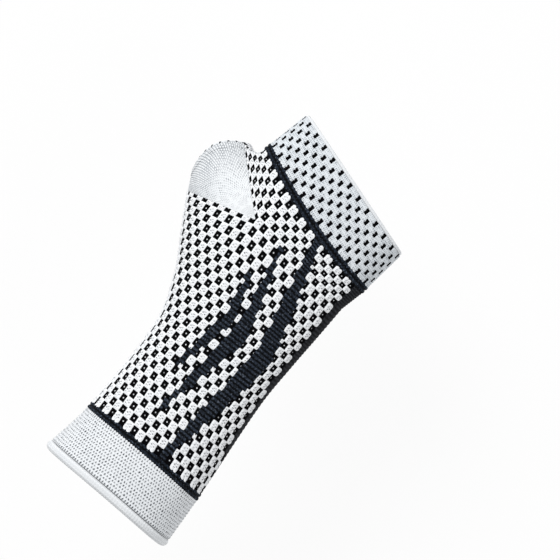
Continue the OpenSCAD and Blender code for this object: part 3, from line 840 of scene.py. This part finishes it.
def lining_grid(first, last, join):
    """The lining of a cuff, which turns out to the sleeve at its join, row 0 or -1."""
    grid = tube_grid(np.linspace(first, last, LINING_ROWS), CUFF_WALL, LINING_STITCH)
    outer = tube_grid([first if join == 0 else last], KNIT_WALL)["points"][0]
    for k, share in enumerate(LINING_JOIN):
        row = k if join == 0 else -1 - k
        grid["points"][row] = mix(grid["points"][row], outer, share)
    return grid


forearm_lining_grid = lining_grid(Y_CUFF - UNDER_WELT, Y_STRIPE + LINING_LAP, -1)
forearm_lining = mesh_object("forearm_cuff_lining", [forearm_lining_grid], grey)
palm_lining_grid = lining_grid(Y_PALM_CUFF - LINING_LAP, Y_PALM_FOLD + LINING_LAP, 0)
palm_lining = mesh_object("palm_cuff_lining", [palm_lining_grid], pale)

# Rolls, in the middle of a cuff's wall
ROLL_DEPTH = CUFF_WALL / 2
WELT_ROLL = {"columns": 528, "sides": 24, "ribs": 132, "rib": 0.07, "stitch": 1.5}
HEM_ROLL = {"columns": 416, "sides": 16, "ribs": 104, "rib": 0.05, "stitch": 1.5}
THREAD_ROLL = {"columns": 400, "sides": 8, "ribs": 200, "rib": 0.04, "stitch": 0.5}
WELT_INSET, HEM_INSET = 0.3, 0.2


def ring_line(y):
    """A whole row as one line of points, round the back and then the palm."""
    back, palm = row_lines([y], 1, ROLL_DEPTH)[0], row_lines([y], -1, ROLL_DEPTH)[0]
    return np.concatenate([back, palm[-2::-1]])[None]


def roll_grid(y, long, thick, columns, sides, ribs, rib, stitch):
    """A rounded roll round the whole sleeve, with fine ribs over it."""
    line, next_line = ring_line(y), ring_line(y + 1)
    total = run_of(line)[0, -1]
    share = np.linspace(0, 1, columns, endpoint=False)[None]
    centre = along(line, share * total)[0]
    ahead = along(next_line, share * run_of(next_line)[0, -1])[0] - centre
    tangent = unit(np.roll(centre, -1, 0) - np.roll(centre, 1, 0))
    lengthwise = unit(ahead - np.sum(ahead * tangent, axis=1, keepdims=True) * tangent)
    outward = np.cross(lengthwise, tangent)
    wave = rib * np.cos(share[0] * ribs * 2 * math.pi)
    points = np.stack([
        centre + outward * ((thick / 2 + wave) * math.cos(a))[:, None]
        + lengthwise * ((long / 2 + wave) * math.sin(a))[:, None]
        for a in np.linspace(0, 2 * math.pi, sides + 1)
    ])
    around = np.linspace(0, (long + thick) * math.pi / 2 / stitch, sides + 1)
    uv = np.stack(np.meshgrid(np.linspace(0, total / stitch, columns + 1), around), axis=2)
    return {"points": points, "uv": uv, "closed": True}


welt_grid = roll_grid(WELT_LEN / 2, WELT_LEN - WELT_INSET, WELT_THICK, **WELT_ROLL)
forearm_welt = mesh_object("forearm_welt_roll", [welt_grid], edge_white)
hem_grid = roll_grid(Y_PALM - PALM_FOLD_LEN / 2, PALM_FOLD_LEN - HEM_INSET, PALM_FOLD_THICK, **HEM_ROLL)
palm_hem = mesh_object("palm_hem_fold", [hem_grid], edge_white)


def threads(name, first, last):
    places = np.linspace(first, last, ELASTIC_COUNT + 2)[1:-1]
    return mesh_object(name, [roll_grid(y, ELASTIC_D, ELASTIC_D, **THREAD_ROLL) for y in places], rubber)


forearm_elastic = threads("forearm_elastic_threads", Y_CUFF, Y_STRIPE)
palm_elastic = threads("palm_elastic_threads", Y_PALM_CUFF, Y_PALM_FOLD)

# The thumb heel: its courses fan out from the heel's tip, and its wales are counted from there
HEEL_WALE, HEEL_COURSES = 1.55, 36
HEEL_UP, HEEL_ROUND = 32.0, 48.0
# Its face and its inside, and where each ends before the rim
HEEL_ROWS, HEEL_COLS, HEEL_RIDGE, FACE_END, BACK_END = 110, 420, 0.3, -0.9, -0.5
HEEL_BACK_ROWS, HEEL_BACK_COLS = 24, 120
# The hem band: its end before the rim, its lap under the overlock, rows and height
HEM_END, HEM_LAP, HEM_ROWS, HEM_LIFT = OVERLOCK_D + 0.6, 0.4, 8, HEM_PROUD * 0.6


def heel_grid(start, finish, rows, cols, lift=0.0, ridge=0.0):
    """A strip of the heel between two distances, from the sleeve or, where negative, from the rim."""
    t = np.linspace(0, 1, cols)
    run = np.linalg.norm(heel_face(np.ones(cols), t) - heel_face(np.zeros(cols), t), axis=1)
    s = mix((start < 0) + start / run, 1 + finish / run, np.linspace(0, 1, rows)[:, None])
    plain = heel_face(s, np.repeat(t[None], rows, 0))
    normal = unit(np.cross(*np.gradient(plain, axis=(0, 1))))
    up, sideways = s * HEEL_UP, np.minimum(t, 1 - t)[None] * 2 * HEEL_ROUND
    far = np.hypot(up, sideways)
    course = np.arctan2(up, sideways) / (math.pi / 2) * HEEL_COURSES
    lift = lift + ridge * np.minimum(far / HEEL_UP, 1) * (np.abs(np.sin(math.pi * course)) - 0.5)
    return {"points": plain + normal * lift[..., None], "uv": np.stack([far / HEEL_WALE, course], axis=2)}


thumb_heel_grid = heel_grid(0.0, FACE_END, HEEL_ROWS, HEEL_COLS, ridge=HEEL_RIDGE)
thumb_heel = mesh_object("thumb_heel_knit", [thumb_heel_grid], heel_grey)
thumb_heel_back = {**heel_grid(0.0, BACK_END, HEEL_BACK_ROWS, HEEL_BACK_COLS, lift=-HEEL_WALL), "inward": True}
# A strip joins its inside to that of the sleeve
heel_foot = row_points(HEEL_ROW[None], heel_angle(np.linspace(0, 1, HEEL_BACK_COLS)), KNIT_WALL)[0]
heel_foot = np.stack([heel_foot, thumb_heel_back["points"][0]])
heel_strip = {"points": heel_foot, "uv": thumb_heel_back["uv"][:2], "inward": True}
thumb_inside = mesh_object("inside_knit_thumb",
                           [thumb_heel_back, heel_strip] + [grids[1] for grids in upper_insides], inside)
hem_band = heel_grid(-HEM_END - HEM_W, -HEM_END + HEM_LAP, HEM_ROWS, HEEL_COLS, lift=HEM_LIFT)
thumb_hem = mesh_object("thumb_hem_band", [hem_band], heel_grey)


# The overlock: every fourth thread is dark. Its body and waves are shares of its radius.
OVERLOCK_TURNS, OVERLOCK_SIDES, THREAD_POINTS, STITCH_POINTS, DARK_THREAD = 360, 10, 4, 8.0, 4
OVERLOCK_BODY, OVERLOCK_WAVE, OVERLOCK_WAVES = 1.1, 0.15, 45
# Its dark bar on the back, next to the crotch
BAR_ENDS = math.radians(8), math.radians(38)


def overlock_grid():
    a = np.linspace(0, 2 * math.pi, OVERLOCK_TURNS, endpoint=False)
    out = unit(rim_radius(a))
    centre = rim(a) - out * HEEL_WALL / 2 - THUMB_AXIS * OVERLOCK_D / 2
    k = np.linspace(0, 2 * math.pi, OVERLOCK_SIDES + 1)
    wave = OVERLOCK_D / 2 * (OVERLOCK_BODY + OVERLOCK_WAVE * np.abs(np.sin(a * OVERLOCK_WAVES)))
    points = np.stack([centre + (out * math.cos(t) + THUMB_AXIS * math.sin(t)) * wave[:, None] for t in k])
    order = np.arange(OVERLOCK_TURNS)
    uv = np.stack(np.meshgrid(np.arange(OVERLOCK_TURNS + 1) / STITCH_POINTS, k), axis=2)
    uv[:, -1, 1] += 1 / STITCH_POINTS
    bar = (a > BAR_ENDS[0]) & (a < BAR_ENDS[1])
    dark = ((order // THREAD_POINTS) % DARK_THREAD == 0) | bar
    return {"points": points, "uv": uv, "closed": True, "inward": True,
            "material": np.repeat(dark[None], OVERLOCK_SIDES, 0).astype(int)}


thumb_overlock = mesh_object("thumb_overlock_thread", [overlock_grid()], edge_white, navy)

# What moves with what, and which piece stands for which part.
# Knit is stretched round the limb by about an eighth
STRETCH = 1.12


def flat_size(grids):
    """The width, length and area of a sheet of knit, unstretched, in metres."""
    width, length, area = 0.0, 0.0, 0.0
    for g in grids:
        plain = g.get("plain", g["points"])
        along_row, up = np.diff(plain, axis=1)[:-1], np.diff(plain, axis=0)[:, :-1]
        show = g.get("show", np.ones(along_row.shape[:2], bool))
        width = max(width, (np.linalg.norm(along_row, axis=2) * show).sum(axis=1).max())
        length = max(length, (np.linalg.norm(up, axis=2) * show).sum(axis=0).max())
        area += (np.linalg.norm(np.cross(along_row, up), axis=2) * show).sum()
    return width / STRETCH * MM, length * MM, area / STRETCH * MM**2


def cloth(grids, nodes):
    """Hides the nodes that a stretched sheet of knit stands for. Its flat size is worked out and not used."""
    width, length, area = flat_size(grids)
    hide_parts(*nodes)


def bend(obj):
    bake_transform(obj)


bpy.context.view_layer.update()
for piece in (forearm_welt, forearm_cuff, forearm_lining, forearm_elastic, forearm_stripe):
    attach(piece, "forearm")
for piece in (palm_stripe, palm_cuff, palm_lining, palm_elastic, palm_hem, hand_panel, hand_inside):
    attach(piece, "hand")
for piece in (forearm_knit, forearm_panel, forearm_inside):
    bend(piece)
for piece in (hand_knit, wrist_panel, wrist_inside):
    bend(piece)
for piece in (upper_knit, thumb_heel, thumb_inside, thumb_hem, thumb_overlock):
    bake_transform(piece)

cloth(checks_of(forearm_grid), ("forearm_sleeve", "wrist_sleeve_proximal"))
cloth(checks_of(hand_grid), ("wrist_sleeve_distal", "hand_sleeve"))
cloth(checks_of(upper_grid), ("hand_back", "hand_palm", "thumb_web"))
cloth(panel_of(forearm_grid),
      ("ulnar_panel_forearm", "ulnar_panel_wrist_proximal"))
cloth(panel_of(hand_grid), ("ulnar_panel_wrist_distal",))
cloth(panel_of(upper_grid), ("ulnar_panel_hand",))
cloth([cuff_grid], ("forearm_cuff",))
cloth([forearm_lining_grid], ("forearm_lining",))
cloth([palm_grid], ("palm_cuff",))
cloth([palm_lining_grid], ("palm_lining",))
cloth([thumb_heel_grid], ("thumb_heel",))
for obj, slot_name, node in (
    (forearm_welt, "grey_knit", "forearm_welt"), (forearm_stripe, "navy_knit", "forearm_stripe"),
    (palm_stripe, "navy_knit", "palm_stripe"), (palm_hem, "palm_cuff_knit", "palm_hem"),
    (forearm_elastic, "elastic_thread", "forearm_elastic"), (palm_elastic, "elastic_thread", "palm_elastic"),
    (thumb_hem, "grey_knit", "thumb_hem"), (thumb_overlock, "navy_knit", "thumb_overlock"),
):
    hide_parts(node)

# The stage: a pale floor well below the sleeve, a soft key light from the thumb side and a soft fill
FLOOR_DROP, FLOOR_HALF, GLOW_SHARE = -0.11, 4, 0.92
corners = [(x * FLOOR_HALF, y * FLOOR_HALF, FLOOR_DROP) for x, y in ((-1, -1), (1, -1), (1, 1), (-1, 1))]
floor_mesh = bpy.data.meshes.new("floor")
floor_mesh.from_pydata(corners, [], [(0, 1, 2, 3)])
floor = add("floor", floor_mesh)
paint = Nodes("floor", 0.9)
paint.put(paint.surface, {"Base Color": (0.9, 0.9, 0.9, 1)})
ray = paint.node("ShaderNodeLightPath").outputs
seen = paint.value("MAXIMUM", ray["Is Camera Ray"], ray["Is Glossy Ray"])
seen = paint.value("MAXIMUM", seen, ray["Is Transmission Ray"])
glow = paint.node("ShaderNodeEmission").outputs[0]
shown = {0: paint.times(seen, GLOW_SHARE), 1: paint.surface.outputs[0], 2: glow}
mixed = paint.node("ShaderNodeMixShader", shown)
paint.put(paint.tree.nodes["Material Output"], {"Surface": mixed.outputs[0]})
floor_mesh.materials.append(paint.material)

WORLD_STRENGTH = 0.42
world = bpy.data.worlds.new("studio")
bpy.context.scene.world = world
world.use_nodes = True
background = world.node_tree.nodes["Background"].inputs
background["Color"].default_value = (1, 1, 1, 1)
background["Strength"].default_value = WORLD_STRENGTH
# Where the lights point
MIDDLE = (-0.01, 0.11, 0)


def area_light(name, place, size, power):
    data = bpy.data.lights.new(name, "AREA")
    data.shape, data.size, data.energy = "DISK", size, power
    light = add(name, data)
    light.location = place
    light.rotation_mode = "QUATERNION"
    light.rotation_quaternion = (Vector(MIDDLE) - Vector(place)).to_track_quat("-Z", "Y")


area_light("key", (-0.75, 0.45, 0.85), size=0.6, power=10.4)
area_light("fill", (0.85, 0.05, 0.7), size=0.9, power=3.2)

# The camera looks straight down on the back of the hand, with the fingers up to the right
PIXEL_MM, IMAGE = 0.48, 560
IMAGE_RIGHT = Vector((0.778, 0.628, 0)).normalized()
VIEW_CENTRE = Vector((0.00034, 0.13398, 0))
LENS, SENSOR = 268, 36
camera = add("camera", bpy.data.cameras.new("camera"))
camera.data.lens, camera.data.sensor_width = LENS, SENSOR
distance = IMAGE * PIXEL_MM * MM / (SENSOR / LENS)
up = Vector((0, 0, 1))
turn = Matrix((IMAGE_RIGHT, up.cross(IMAGE_RIGHT), up)).transposed()
camera.rotation_mode = "QUATERNION"
camera.rotation_quaternion = turn.to_quaternion()
camera.location = VIEW_CENTRE + up * distance
camera.data.clip_start = 0.01
bpy.context.scene.camera = camera
bpy.context.scene.view_settings.view_transform = "Standard"

bpy.context.view_layer.update()
